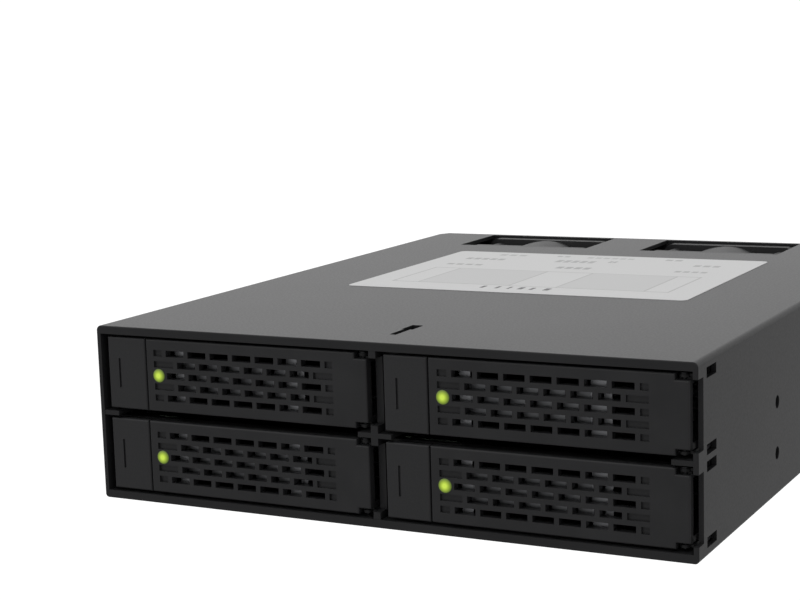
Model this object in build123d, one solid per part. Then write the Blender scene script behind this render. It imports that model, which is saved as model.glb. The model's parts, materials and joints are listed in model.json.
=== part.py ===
from build123d import *
import os
from math import sqrt

# Hot swap drive cage for one half-height front bay, millimetres.
# X runs to the right, Y runs to the rear, Z up. The origin is at the middle of the underside.

# Case
case_width = 146.0
case_height = 41.3
case_depth = 184.0
sheet = 1.1  # steel sheet of the case
bend_radius = 1.2  # outside radius of the folded top edges
foot_radius = 0.9  # rounded lower edges of the side walls
edge_break = 0.25  # smoothed front edges
hem_fold = 0.8  # front edges of top and bottom are folded back
hem_depth = 6.0
centre_wall_thickness = 1.7
shelf_thickness = 1.1
touch_gap = 0.3  # free space between pieces that move past each other

# Front openings and levers
door_recess = 0.4
door_thickness = 2.0
door_round = 0.4
door_gap_left = 1.625
door_gap_right = 0.825
door_gap_height = 0.65
latch_width = 10.5
split_gap = 0.25
notch_width = 3.0
notch_height = 1.35
pivot_inset = 1.6  # from the lever's right edge
pivot_depth = 1.9  # behind the lever's face
knuckle_radius = 1.6
hinge_pin_radius = 0.5
hinge_fit = 0.06  # radial running clearance
pin_end = 0.3  # head and tail of the pin beyond the ears
pin_lip = 0.4
arm_reach = 7.5  # cam arms reach this far behind the pivot
arm_height = 1.4
arm_gap = 0.15  # from an arm to the bracket's ear
arm_root = 1.0  # half width of an arm at the hinge
arm_shoulder = 2.4  # an arm leaves the hinge straight and then widens to the wall
arm_flare = 3.4
arm_taper = 1.0

# Grille of the lever
grille_start = 16.25  # from the lever's left edge to the first slot of the long rows
grille_end_margin = 11.0  # at least this much stays whole at the lever's right end
slot_length = 4.9
slot_height = 1.5
slot_bridge = 1.1
slot_pitch = 6.0
row_pitch = 2.62
blind_start = 12.85
blind_tail = 2.95  # shallow slots end this far past the last open slot
blind_depth = 0.6
grip_mark_at = 3.2
grip_mark_width = 0.55
grip_mark_height = 6.9
grip_mark_depth = 0.45

# Status light
lens_at = 14.15
lens_radius = 1.5
lens_fit = 0.03
lens_flange = 0.5
lens_flange_lip = 0.5
lens_proud = 0.25
lens_round = 0.2
guide_bar = 1.4  # square light guide
guide_tip_radius = 1.0

# Latch
latch_thickness = 1.5
latch_pivot_inset = 1.2  # from the latch's right edge
latch_pivot_depth = 2.6
latch_boss_radius = 0.9
latch_pintle_radius = 0.5
latch_back_gap = 1.4  # room behind the latch for its swing
latch_plate = 0.8
latch_neck = 1.6  # rib between the latch's plate and its pivot
cheek_thickness = 1.1
cheek_inset = 0.85
cheek_front = 0.4
cheek_reach = 2.0
pintle_length = 1.0
tongue_at = 1.6
tongue_thickness = 0.8
tongue_height = 4.0
tongue_length = 4.9
nose = 0.7
spring_leaf = 0.2
spring_radius = 4.5
spring_height = 3.0
spring_at = 4.2
spring_play = 0.03

# Trays, for one drive of 2.5 inch size each: 69.85 wide and 15 high fit between these walls
drive_length = 100.2
drive_setback = 12.6  # drive's front behind the lever's face
tray_side_gap = 0.2
tray_wall = 0.35
tray_floor = 0.6
tray_wall_height = 9.0
tray_socket_gap = 2.2  # from the tray's rear edge to the sockets
guide_top_gap = 0.9  # from the light guide to the roof of the opening
guide_thickness = 1.1
tray_rib_width = 5.0
vent_width = 15.0
vent_length = 4.0
vent_pitch_x = 18.5
vent_pitch_y = 12.0
vent_first = 16.0  # behind the drive's front
drive_hole_radius = 1.6
drive_hole_spacing_x = 61.72
drive_hole_spacing_y = 76.6
drive_hole_from_rear = 14.0
bracket_depth = 3.0  # the bracket's grille behind the lever's face
bracket_plate = 1.0
bracket_bar = 1.6  # top and bottom bars reach this far behind the plate
bracket_start = 16.7  # from the lever's left edge to the plate
bracket_end_margin = 5.95  # from the plate to the end of the lever's grille
bracket_post = 2.6
bracket_hole_width = 2.6
bracket_hole_height = 1.6
bracket_hole_top = 0.55  # above the row's level
bracket_row_top = 1.0
bracket_post_right = 4.6
ear_thickness = 0.6
ear_inner = 1.1  # ears reach this far to the left and right of the pin
ear_outer = 1.8
ear_post = 2.0
strike_gap = 0.7  # between the latch's seat and its strike
strike_thickness = 0.7

# Wall details
wall_setback = 3.3
wall_notch_land = 1.65  # wall that stays above and below each notch
wall_slot_start = 5.4
wall_slot_length = 6.3
wall_slot_height = 2.2
wall_slot_land = 0.1  # from a slot to the edge of its tray opening
shelf_setback = 10.0
shelf_tab_left = 4.0
shelf_tab_centre = 8.2
shelf_tab_right = 4.6

# Stepped slot in the top above the centre wall: half widths, start and end behind the front edge
keyhole = ((0.8, 10.0, 18.0), (1.375, 17.0, 22.5))
keyhole_depth = 3.0  # free space under it
corner_cut_length = 6.0  # notch at the top's rear left corner
corner_cut_width = 3.5
corner_cut_depth = 4.0

# Floor
runner_offset = 25.0  # from the bay's middle line
runner_width = 3.0

# Fastening holes of the bay standard
mount_hole_radius = 1.5
mount_from_front = 56.8
mount_spacing_y = 79.25
mount_low_z = 10.0
mount_spacing_z = 11.84

# Backplane and rear board
socket_stand = 4.0  # from a seated drive's rear to the backplane
board_thickness = 1.6
board_edge_gap = 0.5
socket_depth = 8.0
socket_width = 34.0
socket_height = 5.2
socket_offset = 4.8
socket_above_floor = 0.9
socket_key = 2.0  # side guides
socket_shoulder = 3.0
socket_slot_depth = 4.5
socket_slot_height = 1.4
socket_slots = ((4.5, 13.0), (14.5, 29.5))  # from the socket's left end
air_window_margin = 5.525  # from a bay's side to its first window
air_window_bar = 6.0
air_window_low = 1.0  # above the bay's middle
air_window_high = 7.5
header_gap = 0.2
header_length = 50.0
header_pins = 20
header_pitch = 2.5
header_hole = 1.2
header_depth = 5.5
header_height = 5.0
rear_board_drop = 1.05  # below the fans' middle line
fan_plug_room = 4.5  # from the rear board to the fans
post_radius = 2.6
post_inset = 9.0  # from the walls
tab_height = 8.0
tab_width = 8.0
tab_screw_rise = 5.0
tongue_left_width = 13.5
tongue_middle_width = 13.0
tongue_right_width = 23.5
connector_depth = 10.5
connector_pocket = 6.0
tongue_back = 6.5  # contact tongues start and end this far from the panel's face
tongue_front = 0.8
contact_tongue = 1.15
tongue_key = 1.1
data_tongue_half = 4.1
data_lip = 1.3
power_tongue_margin = 2.0
power_lip = 1.4
key_drop = 0.5  # key leg below the contact tongue
data_width = 12.0
data_height = 6.0
power_width = 22.0
power_height = 6.6
window_gap = 0.3
port_wall = 1.0

# Fan speed switch, under the right tongue
switch_width = 12.0
switch_height = 5.6
switch_depth = 8.0
knob_width = 3.0
knob_height = 2.0
knob_travel = 2.0
knob_pocket = 2.0
knob_inset = 0.2  # from the case's rear edge

# Fans
fan_height_gap = 0.65  # at least this much of the case's height above and below
fan_gap_left = 2.9  # from the left tongue to the left fan
fan_gap_right = 2.0
fan_gap_middle = 2.25  # at least, beside the middle tongue
fan_depth = 20.0
fan_flange = 3.2
fan_corner = 3.0
fan_rim = 1.1
fan_duct_wall = 1.0
fan_hole_inset = 4.0
fan_hole_radius = 1.75
fan_boss_wall = 1.1
fan_window_margin = 0.3
fan_window_front = 3.5  # the windows start this far before the fans
fan_window_rear = 1.0
fan_strut_width = 2.0
fan_strut_depth = 1.8
fan_strut_turns = (20, 110)  # clear of the fixing holes
fan_tube_length = 12.0
fan_tube_wall = 1.4
guard_start = 5.6  # inner radius of the first ring slot
guard_slot = 3.0
guard_ring = 1.2
guard_spoke = 2.0
rear_inset = 1.5
hub_share = 0.6  # of the bore's radius
hub_wall = 1.0
hub_front_gap = 2.4
hub_rear_gap = 1.2
blade_root = 1.5  # sunk into the hub
shaft_radius = 1.0
shaft_fit = 0.06
blade_count = 7
blade_pitch = 40.0
blade_thickness = 0.9
blade_chord = 13.0
blade_gap = 0.7
lead_inset = 2.2  # from the fan's side
lead_rise = 8.0  # above the fan's middle line
lead_radius = 0.55
lead_bend = 0.8
plug_width = 6.0
plug_length = 4.0
plug_height = 3.4

# Fasteners and small pieces
screw_radius = 1.45
screw_fit = 0.03
screw_head_radius = 2.75
screw_head = 1.4
recess_length = 2.4  # cross recess of every screw
recess_width = 0.5
recess_depth = 0.6
screw_length = 5.0
case_screw_tail = 1.5  # behind the two sheets
case_screw_step = 10.8
case_screw_rise = 3.6
panel_flange = 9.0
panel_flange_low = 8.5
panel_flange_high = 4.0
plate_flange_height = 7.0
plate_flange_gap = 2.0  # between the floor's flange and the rear panel's flange
label_x0 = -46.2
label_x1 = 46.4
label_from_front = 72.5
label_length = 71.0
label_thickness = 0.1
label_corner = 1.75

# Places worked out from the sizes above
half_width = case_width / 2
front_y = -case_depth / 2
rear_y = case_depth / 2
wall_in = half_width - sheet
ceiling = case_height - sheet
half_centre = centre_wall_thickness / 2
fan_z = case_height / 2
rear_board_z = fan_z - rear_board_drop
rear_board_top = rear_board_z + board_thickness
bay_width = wall_in - half_centre
bay_half = bay_width / 2
bay_x = half_centre + bay_half
mouth_height = (ceiling - sheet - 2 * hem_fold - shelf_thickness) / 2
lower_z = sheet + hem_fold + mouth_height / 2
upper_z = ceiling - hem_fold - mouth_height / 2
wall_notch_height = mouth_height - 2 * wall_notch_land
wall_slot_offset = mouth_height / 2 - wall_slot_land - wall_slot_height / 2
shelf_z0 = lower_z + mouth_height / 2
shelf_z1 = shelf_z0 + shelf_thickness
bays = {
    "upper_left": (-bay_x, upper_z),
    "upper_right": (bay_x, upper_z),
    "lower_left": (-bay_x, lower_z),
    "lower_right": (bay_x, lower_z),
}

# Places inside one bay, from the bay's middle line and from a level through the lever's middle
face_y = front_y + door_recess
door_x0 = -bay_half + door_gap_left
door_x1 = bay_half - door_gap_right
door_half = mouth_height / 2 - door_gap_height
notch_level = door_half - notch_height
pivot_x = door_x1 - pivot_inset
pivot_y = face_y + pivot_depth
latch_pivot_x = door_x0 + latch_width - latch_pivot_inset
latch_pivot_y = face_y + latch_pivot_depth
tray_half = bay_half - tray_side_gap
tray_inner = tray_half - tray_wall
tray_bottom = -mouth_height / 2 + touch_gap
floor_top = tray_bottom + tray_floor
guide_z1 = mouth_height / 2 - guide_top_gap
guide_z0 = guide_z1 - guide_thickness
arm_clear_y = pivot_y + arm_reach + 3 * touch_gap
drive_y0 = face_y + drive_setback
drive_y1 = drive_y0 + drive_length
post_rear_y = drive_y0 - touch_gap
backplane_y0 = drive_y1 + socket_stand
backplane_y1 = backplane_y0 + board_thickness
tray_rear_y = backplane_y0 - socket_depth - tray_socket_gap
lap_y = (front_y + backplane_y0) / 2
rear_panel_y1 = rear_y - rear_inset
rear_panel_y0 = rear_panel_y1 - sheet
fan_y1 = rear_panel_y0
fan_y0 = fan_y1 - fan_depth
rear_board_half = wall_in - 2 * sheet
tongue_left_x1 = -rear_board_half + tongue_left_width
tongue_right_x0 = rear_board_half - tongue_right_width
fan_room = tongue_right_x0 - fan_gap_right - tongue_left_x1 - fan_gap_left
fan_size = min(case_height - 2 * fan_height_gap, (fan_room - tongue_middle_width) / 2 - fan_gap_middle)
fan_left_x = tongue_left_x1 + fan_gap_left + fan_size / 2
fan_right_x = tongue_right_x0 - fan_gap_right - fan_size / 2
fans = {"left": fan_left_x, "right": fan_right_x}
fan_bore_radius = fan_size / 2 - fan_rim
fan_duct_radius = fan_bore_radius + fan_duct_wall
fan_hole_spacing = fan_size - 2 * fan_hole_inset
hub_radius = hub_share * fan_bore_radius
tongue_middle_x = (fan_left_x + fan_right_x) / 2
left_port_x = tongue_left_x1 - tongue_left_width / 2
right_port_x = tongue_right_x0 + tongue_right_width / 2
data_ports = {
    1: (left_port_x, rear_board_top),
    2: (left_port_x, rear_board_z - data_height),
    3: (tongue_middle_x, rear_board_top),
    4: (tongue_middle_x, rear_board_z - data_height),
}
switch_z0 = rear_board_z - switch_height
switch_z = switch_z0 + switch_height / 2
rear_board_y0 = backplane_y1 + header_gap
rear_board_y1 = fan_y0 - fan_plug_room
board_tab_places = (-wall_in + tab_width, -tab_width, tab_width, wall_in - tab_width)
board_screw_z = sheet + tab_screw_rise
post_y = (rear_board_y0 + rear_board_y1) / 2
tongue_post_y = rear_panel_y0 - connector_depth - 2 * screw_head_radius
post_places = (
    (-wall_in + post_inset, post_y),
    (wall_in - post_inset, post_y),
    (left_port_x, tongue_post_y),
    (tongue_middle_x, tongue_post_y),
    (right_port_x, tongue_post_y),
)


def block(x0, x1, y0, y1, z0, z1):
    # a box between two corners
    middle = Pos((x0 + x1) / 2, (y0 + y1) / 2, (z0 + z1) / 2)
    return middle * Box(x1 - x0, y1 - y0, z1 - z0)


def upright(x, y, z0, z1, radius):
    # a round bar along Z
    return Pos(x, y, (z0 + z1) / 2) * Cylinder(radius, z1 - z0)


def lengthwise(x, z, y0, y1, radius):
    # a round bar along Y
    return Pos(x, (y0 + y1) / 2, z) * Rot(90, 0, 0) * Cylinder(radius, y1 - y0)


def crosswise(y, z, x0, x1, radius):
    # a round bar along X
    return Pos((x0 + x1) / 2, y, z) * Rot(0, 90, 0) * Cylinder(radius, x1 - x0)


def slab(points, z0, z1):
    # a flat outline in X and Y, raised from z0 to z1
    return Pos(0, 0, z0) * extrude(Polygon(*points, align=None), z1 - z0)


def write(shape, name):
    shape.label = name
    export_step(shape, f"parts/{name}.step")


def write_in_bays(shape, name):
    for bay, (x, z) in bays.items():
        write(Pos(x, 0, z) * shape, f"{name}_{bay}")


# Screws of the case, countersunk into the side walls
side_screw_places = [
    (side, y, z)
    for side in (-1, 1)
    for y, z in (
        (rear_board_y0 + case_screw_step, sheet + case_screw_rise),
        (fan_y0 + case_screw_step / 2, sheet + case_screw_rise),
        (rear_panel_y0 - panel_flange / 2, sheet + panel_flange_low + case_screw_rise),
        (rear_panel_y0 - panel_flange / 2, ceiling - panel_flange_high - 2 * case_screw_rise),
    )
]


def countersunk(side, y, z, grow):
    # a countersunk screw along X, its head level with the wall's outside
    head = Pos(side * (half_width - sheet / 2), y, z) * Rot(0, side * 90, 0)
    head *= Cone(screw_radius + grow, screw_head_radius + grow, sheet)
    shank_x = sorted((side * wall_in, side * (wall_in - sheet - case_screw_tail)))
    return head + crosswise(y, z, *shank_x, screw_radius + grow)


def mount_holes():
    # four tapped holes in each side wall
    cut = []
    for row in range(2):
        for column in range(2):
            y = front_y + mount_from_front + column * mount_spacing_y
            z = mount_low_z + row * mount_spacing_z
            cut.append(crosswise(y, z, -half_width - 1, half_width + 1, mount_hole_radius))
    return cut


def wall_slots(x0, x1):
    # slots that the levers' cam arms push against
    y0 = front_y + wall_slot_start
    cut = []
    for z in (lower_z, upper_z):
        for level in (z - wall_slot_offset, z + wall_slot_offset):
            low, high = level - wall_slot_height / 2, level + wall_slot_height / 2
            cut.append(block(x0, x1, y0, y0 + wall_slot_length, low, high))
    return cut


def wall_notches(x0, x1):
    # the wall is set back beside each lever's hinge
    cut = []
    for z in (lower_z, upper_z):
        low, high = z - wall_notch_height / 2, z + wall_notch_height / 2
        cut.append(block(x0, x1, front_y - 1, front_y + wall_setback, low, high))
    return cut


def fan_windows(z0, z1):
    # the fans are a little taller than the case's inside, so top and bottom are cut away there
    half = fan_size / 2 + fan_window_margin
    return [
        block(x - half, x + half, fan_y0 - fan_window_front, fan_y1 + fan_window_rear, z0, z1)
        for x in fans.values()
    ]


def outer_shell():
    # top and side walls, folded from one sheet
    skin = block(-half_width, half_width, front_y, rear_y, 0, case_height)
    skin = fillet(skin.edges().filter_by(Axis.Y).group_by(Axis.Z)[-1], bend_radius)
    skin = fillet(skin.edges().filter_by(Axis.Y).group_by(Axis.Z)[0], foot_radius)
    skin = fillet(skin.faces().sort_by(Axis.Y)[0].outer_wire().edges(), edge_break)
    skin -= block(-wall_in, wall_in, front_y - 1, rear_y + 1, -1, ceiling)
    skin += block(-wall_in, wall_in, front_y, front_y + hem_depth, ceiling - hem_fold, ceiling)
    cut = wall_notches(wall_in - 0.01, half_width + 1)
    cut += wall_slots(wall_in - 1, half_width + 1)
    cut += mount_holes()
    cut += fan_windows(ceiling - 1, case_height + 1)
    cut += [countersunk(side, y, z, screw_fit) for side, y, z in side_screw_places]
    for half, y0, y1 in keyhole:
        cut.append(block(-half, half, front_y + y0, front_y + y1, ceiling - 1, case_height + 1))
    corner = [
        (-half_width - 1, rear_y - corner_cut_length), (-half_width + corner_cut_width, rear_y + 1),
        (-half_width - 1, rear_y + 1),
    ]
    cut.append(slab(corner, ceiling - corner_cut_depth, case_height + 1))
    return skin - cut


def bottom_plate():
    # floor of the case with folded flanges, board tabs and pressed-in posts
    plate = block(-wall_in, wall_in, front_y, rear_y, 0, sheet)
    front_edges = plate.faces().sort_by(Axis.Y)[0].edges().filter_by(Axis.X)
    plate = fillet(front_edges.sort_by(Axis.Z)[0], edge_break)
    plate += block(-wall_in, wall_in, front_y, front_y + hem_depth, sheet, sheet + hem_fold)
    for x in (-bay_x, bay_x):
        for offset in (-runner_offset, runner_offset):
            plate += block(
                x + offset - runner_width / 2, x + offset + runner_width / 2,
                front_y + hem_depth, tray_rear_y, sheet, sheet + hem_fold,
            )
    for side in (-1, 1):
        flange_x = sorted((side * wall_in, side * (wall_in - sheet)))
        flange_y1 = rear_panel_y0 - panel_flange - plate_flange_gap
        plate += block(*flange_x, backplane_y1 + plate_flange_gap, flange_y1, 0, sheet + plate_flange_height)
    for x in board_tab_places:
        plate += block(
            x - tab_width / 2, x + tab_width / 2, backplane_y1, backplane_y1 + sheet, 0, sheet + tab_height,
        )
    for x, y in post_places:
        plate += upright(x, y, 0, rear_board_z, post_radius)
    cut = fan_windows(-1, sheet + 1)
    cut += [countersunk(side, y, z, screw_fit) for side, y, z in side_screw_places]
    cut += [
        lengthwise(x, board_screw_z, backplane_y0, backplane_y1 + sheet + 1, screw_radius)
        for x in board_tab_places
    ]
    cut += [
        upright(x, y, rear_board_top - screw_length - 1, rear_board_z + 1, screw_radius)
        for x, y in post_places
    ]
    return plate - cut


def centre_wall():
    # upright wall between the two columns, half-lapped with the shelf
    wall = block(-half_centre, half_centre, front_y + 0.1, backplane_y0 - touch_gap, sheet, ceiling)
    wall -= block(-1, 1, front_y - 1, front_y + hem_depth, sheet - 1, sheet + hem_fold)
    wall -= block(-1, 1, front_y - 1, front_y + hem_depth, ceiling - hem_fold, ceiling + 1)
    cut = wall_notches(-1, 1)
    cut += wall_slots(-1, 1)
    cut.append(block(-1, 1, front_y - 1, lap_y, shelf_z0, shelf_z1))
    keyhole_y0, keyhole_y1 = front_y + keyhole[0][1] - 1, front_y + keyhole[-1][2] + 1
    cut.append(block(-1, 1, keyhole_y0, keyhole_y1, ceiling - keyhole_depth, ceiling + 1))
    return wall - cut


def bay_shelf():
    # level sheet between upper and lower trays, with tabs that show at the front
    shelf_y0 = front_y + shelf_setback
    shelf = block(-wall_in, wall_in, shelf_y0, backplane_y0 - touch_gap, shelf_z0, shelf_z1)
    tabs = (
        (-wall_in, -wall_in + shelf_tab_left),
        (-shelf_tab_centre / 2, shelf_tab_centre / 2),
        (wall_in - shelf_tab_right, wall_in),
    )
    for x0, x1 in tabs:
        shelf += block(x0, x1, front_y + 0.1, shelf_y0, shelf_z0, shelf_z1)
    return shelf - block(-half_centre, half_centre, lap_y, rear_y, shelf_z0 - 1, shelf_z1 + 1)


def backplane_board():
    # board that the drives plug into, with windows for the air
    board = block(
        -wall_in + board_edge_gap, wall_in - board_edge_gap, backplane_y0, backplane_y1,
        sheet + board_edge_gap, ceiling - board_edge_gap,
    )
    cut = []
    width = (bay_width - 2 * air_window_margin - 2 * air_window_bar) / 3
    for x, z in bays.values():
        for column in (-1, 0, 1):
            middle = x + column * (width + air_window_bar)
            cut.append(block(
                middle - width / 2, middle + width / 2, backplane_y0 - 1, backplane_y1 + 1,
                z + air_window_low, z + air_window_high,
            ))
    cut += [
        lengthwise(x, board_screw_z, backplane_y0 - 1, backplane_y1 + 1, screw_radius + screw_fit)
        for x in board_tab_places
    ]
    return board - cut


def drive_socket():
    # combined data and power socket for one drive, in its bay's place
    x = socket_offset
    z0 = floor_top + socket_above_floor
    z1 = z0 + socket_height
    middle = (z0 + z1) / 2
    half = socket_width / 2
    base = block(x - half, x + half, backplane_y0 - socket_depth / 2, backplane_y0, z0, z1)
    base += block(
        x - half + socket_shoulder, x + half - socket_shoulder, backplane_y0 - socket_depth, backplane_y0,
        z0 + 0.5, z1 - 0.5,
    )
    for side in (-1, 1):
        key_x = sorted((x + side * (half - socket_key), x + side * half))
        base += block(*key_x, backplane_y0 - socket_depth + 0.8, backplane_y0, z0 + 1, z1 - 1)
    mouth = backplane_y0 - socket_depth
    low, high = middle - socket_slot_height / 2, middle + socket_slot_height / 2
    for x0, x1 in socket_slots:
        base -= block(x - half + x0, x - half + x1, mouth - 1, mouth + socket_slot_depth, low, high)
    return base


def rear_board():
    # level board behind the backplane, with tongues that reach the rear panel beside the fans
    half = tongue_middle_width / 2
    board = block(
        -rear_board_half, rear_board_half, rear_board_y0, rear_board_y1, rear_board_z, rear_board_top,
    )
    tongues = (
        (-rear_board_half, tongue_left_x1),
        (tongue_middle_x - half, tongue_middle_x + half),
        (tongue_right_x0, rear_board_half),
    )
    for x0, x1 in tongues:
        board += block(x0, x1, rear_board_y1, rear_panel_y0, rear_board_z, rear_board_top)
    holes = [
        upright(x, y, rear_board_z - 1, rear_board_top + 1, screw_radius + screw_fit)
        for x, y in post_places
    ]
    return board - holes


def board_header():
    # plug strip that joins the rear board to the backplane, with one row of sockets
    top = rear_board_top + header_height
    strip = block(
        -header_length / 2, header_length / 2, backplane_y1, backplane_y1 + header_depth, rear_board_top, top,
    )
    row_y = backplane_y1 + header_depth / 2
    for k in range(header_pins):
        x = (k - (header_pins - 1) / 2) * header_pitch
        strip -= block(
            x - header_hole / 2, x + header_hole / 2, row_y - header_hole / 2, row_y + header_hole / 2,
            top - header_height / 2, top + 1,
        )
    return strip


def port(x, width, y0, y1, z0, z1, tongue_half, lip):
    # shell with an open mouth and a keyed contact tongue inside
    half = width / 2
    middle = (z0 + z1) / 2
    y_back, y_front = y1 - tongue_back, y1 - tongue_front
    low, high = middle - contact_tongue / 2, middle + contact_tongue / 2
    body = block(x - half, x + half, y0, y1, z0, z1)
    body -= block(
        x - half + port_wall, x + half - port_wall, y1 - connector_pocket, y1 + 1, z0 + lip, z1 - lip,
    )
    body += block(x - tongue_half, x + tongue_half, y_back, y_front, low, high)
    return body + block(x - tongue_half, x - tongue_half + tongue_key, y_back, y_front, low - key_drop, high)


def data_port(x, z0):
    # seven-pin data port that opens to the rear
    y0, y1 = rear_panel_y0 - connector_depth, rear_panel_y1
    z1 = z0 + data_height
    return port(x, data_width, y0, y1, z0, z1, data_tongue_half, data_lip)


def power_port():
    # fifteen-pin power port that opens to the rear
    y0, y1 = rear_panel_y0 - connector_depth, rear_panel_y1
    x, z0 = right_port_x, rear_board_top
    z1 = z0 + power_height
    return port(x, power_width, y0, y1, z0, z1, power_width / 2 - power_tongue_margin, power_lip)


def speed_switch():
    half = switch_width / 2
    body = block(
        right_port_x - half, right_port_x + half, rear_panel_y0 - switch_depth, rear_panel_y0,
        switch_z0, rear_board_z,
    )
    pocket_half = knob_width / 2 + knob_travel + touch_gap
    rise = knob_height / 2 + touch_gap
    return body - block(
        right_port_x - pocket_half, right_port_x + pocket_half, rear_panel_y0 - knob_pocket,
        rear_panel_y0 + 1, switch_z - rise, switch_z + rise,
    )


def speed_knob():
    half = knob_width / 2
    y0 = rear_panel_y0 - knob_pocket + touch_gap
    knob = block(
        right_port_x - half, right_port_x + half, y0, rear_y - knob_inset,
        switch_z - knob_height / 2, switch_z + knob_height / 2,
    )
    return fillet(knob.faces().sort_by(Axis.Y)[-1].edges(), 0.3)


def guard_slots(x):
    # ring slots of the finger guard behind one fan
    cut = []
    inner = guard_start
    while inner + guard_slot < fan_bore_radius:
        ring = lengthwise(x, fan_z, rear_panel_y0 - 1, rear_panel_y1 + 1, inner + guard_slot)
        ring -= lengthwise(x, fan_z, rear_panel_y0 - 2, rear_panel_y1 + 2, inner)
        for turn in (45, -45):
            spoke = Box(2 * fan_size, 10, guard_spoke)
            ring -= Pos(x, rear_panel_y0, fan_z) * Rot(0, turn, 0) * spoke
        cut.append(ring)
        inner += guard_slot + guard_ring
    return cut


def fan_corners(x):
    # centres of a fan's four fixing holes
    half = fan_hole_spacing / 2
    return [(x + i * half, fan_z + k * half) for i in (-1, 1) for k in (-1, 1)]


def rear_panel():
    # set in from the rear edges, with folded side flanges
    panel = block(-wall_in, wall_in, rear_panel_y0, rear_panel_y1, sheet, ceiling)
    for side in (-1, 1):
        flange_x = sorted((side * wall_in, side * (wall_in - sheet)))
        low, high = sheet + panel_flange_low, ceiling - panel_flange_high
        panel += block(*flange_x, rear_panel_y0 - panel_flange, rear_panel_y0, low, high)
    cut = []
    for x in fans.values():
        cut += guard_slots(x)
        for hole_x, hole_z in fan_corners(x):
            cut.append(lengthwise(hole_x, hole_z, rear_panel_y0 - 1, rear_panel_y1 + 1, fan_hole_radius))
    half = power_width / 2 + window_gap
    windows = [(right_port_x, half, rear_board_top - window_gap, rear_board_top + power_height + window_gap)]
    half = data_width / 2 + window_gap
    windows += [(x, half, z0 - window_gap, z0 + data_height + window_gap) for x, z0 in data_ports.values()]
    half = knob_width / 2 + knob_travel + touch_gap
    rise = knob_height / 2 + touch_gap
    windows.append((right_port_x, half, switch_z - rise, switch_z + rise))
    for x, half, low, high in windows:
        cut.append(block(x - half, x + half, rear_panel_y0 - 1, rear_panel_y1 + 1, low, high))
    cut += [countersunk(side, y, z, screw_fit) for side, y, z in side_screw_places]
    return panel - cut


def fan_frame(x):
    # square flanges, round duct, corner posts, motor base and bearing tube
    half = fan_size / 2
    frame = None
    for y0 in (fan_y0, fan_y1 - fan_flange):
        flange = block(x - half, x + half, y0, y0 + fan_flange, fan_z - half, fan_z + half)
        flange = fillet(flange.edges().filter_by(Axis.Y), fan_corner)
        frame = flange if frame is None else frame + flange
    frame += lengthwise(x, fan_z, fan_y0, fan_y1, fan_duct_radius)
    for hole_x, hole_z in fan_corners(x):
        frame += lengthwise(hole_x, hole_z, fan_y0, fan_y1, fan_hole_radius + fan_boss_wall)
    frame -= lengthwise(x, fan_z, fan_y0 - 1, fan_y1 + 1, fan_bore_radius)
    frame -= [
        lengthwise(hole_x, hole_z, fan_y0 - 1, fan_y1 + 1, fan_hole_radius)
        for hole_x, hole_z in fan_corners(x)
    ]
    for turn in fan_strut_turns:
        strut = Box(2 * fan_bore_radius + fan_duct_wall, fan_strut_depth, fan_strut_width)
        frame += Pos(x, fan_y0 + fan_strut_depth / 2, fan_z) * Rot(0, turn, 0) * strut
    frame += lengthwise(x, fan_z, fan_y0, fan_y0 + fan_strut_depth, hub_radius - hub_wall)
    frame += lengthwise(x, fan_z, fan_y0, fan_y0 + fan_tube_length, shaft_radius + fan_tube_wall)
    return frame - lengthwise(x, fan_z, fan_y0 + 1, fan_y0 + fan_tube_length + 1, shaft_radius + shaft_fit)


def fan_rotor(x):
    # hub cup with blades, on a shaft that runs in the bearing tube
    hub_y0 = fan_y0 + hub_front_gap
    hub_y1 = fan_y1 - hub_rear_gap
    tip = fan_bore_radius - blade_gap
    blades = []
    for k in range(blade_count):
        blade = Pos((hub_radius + tip) / 2, 0, 0) * Rot(blade_pitch, 0, 0)
        blade *= Box(tip - hub_radius + 2 * blade_root, blade_chord, blade_thickness)
        blades.append(Rot(0, k * 360 / blade_count, 0) * blade)
    middle = (hub_y0 + hub_y1) / 2
    wheel = Pos(x, middle, fan_z) * (Part() + blades)
    wheel &= lengthwise(x, fan_z, hub_y0, hub_y1, tip)
    wheel -= lengthwise(x, fan_z, hub_y0 - 1, hub_y1 + 1, hub_radius - hub_wall / 2)
    cup = lengthwise(x, fan_z, hub_y0, hub_y1, hub_radius)
    cup -= lengthwise(x, fan_z, hub_y0 - 1, hub_y1 - hub_wall, hub_radius - hub_wall)
    shaft = lengthwise(x, fan_z, fan_y0 + 1.4, hub_y1 - hub_wall / 2, shaft_radius)
    return wheel + cup + shaft


def cross_recess():
    # two crossed slots, centred on the head's face
    depth = 2 * recess_depth
    return Box(recess_length, recess_width, depth) + Box(recess_width, recess_length, depth)


def pan_screw(x, y, z, turn):
    # pan-head screw; unturned, its head is up and its shank hangs from the origin
    head = Pos(0, 0, screw_head / 2) * Cylinder(screw_head_radius, screw_head)
    head = fillet(head.edges().group_by(Axis.Z)[-1], 0.5)
    shank = Pos(0, 0, -screw_length / 2) * Cylinder(screw_radius, screw_length)
    return Pos(x, y, z) * turn * (head + shank - Pos(0, 0, screw_head) * cross_recess())


def screw_groups():
    board = [pan_screw(x, backplane_y0, board_screw_z, Rot(90, 0, 0)) for x in board_tab_places]
    board += [pan_screw(x, y, rear_board_top, Rot(0, 0, 0)) for x, y in post_places]
    case = [
        countersunk(side, y, z, 0) - Pos(side * half_width, y, z) * Rot(0, 90, 0) * cross_recess()
        for side, y, z in side_screw_places
    ]
    fan = []
    for x in fans.values():
        for hole_x, hole_z in fan_corners(x):
            fan.append(pan_screw(hole_x, rear_panel_y1, hole_z, Rot(-90, 0, 0)))
    return {"board_screws": board, "case_screws": case, "fan_screws": fan}


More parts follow.
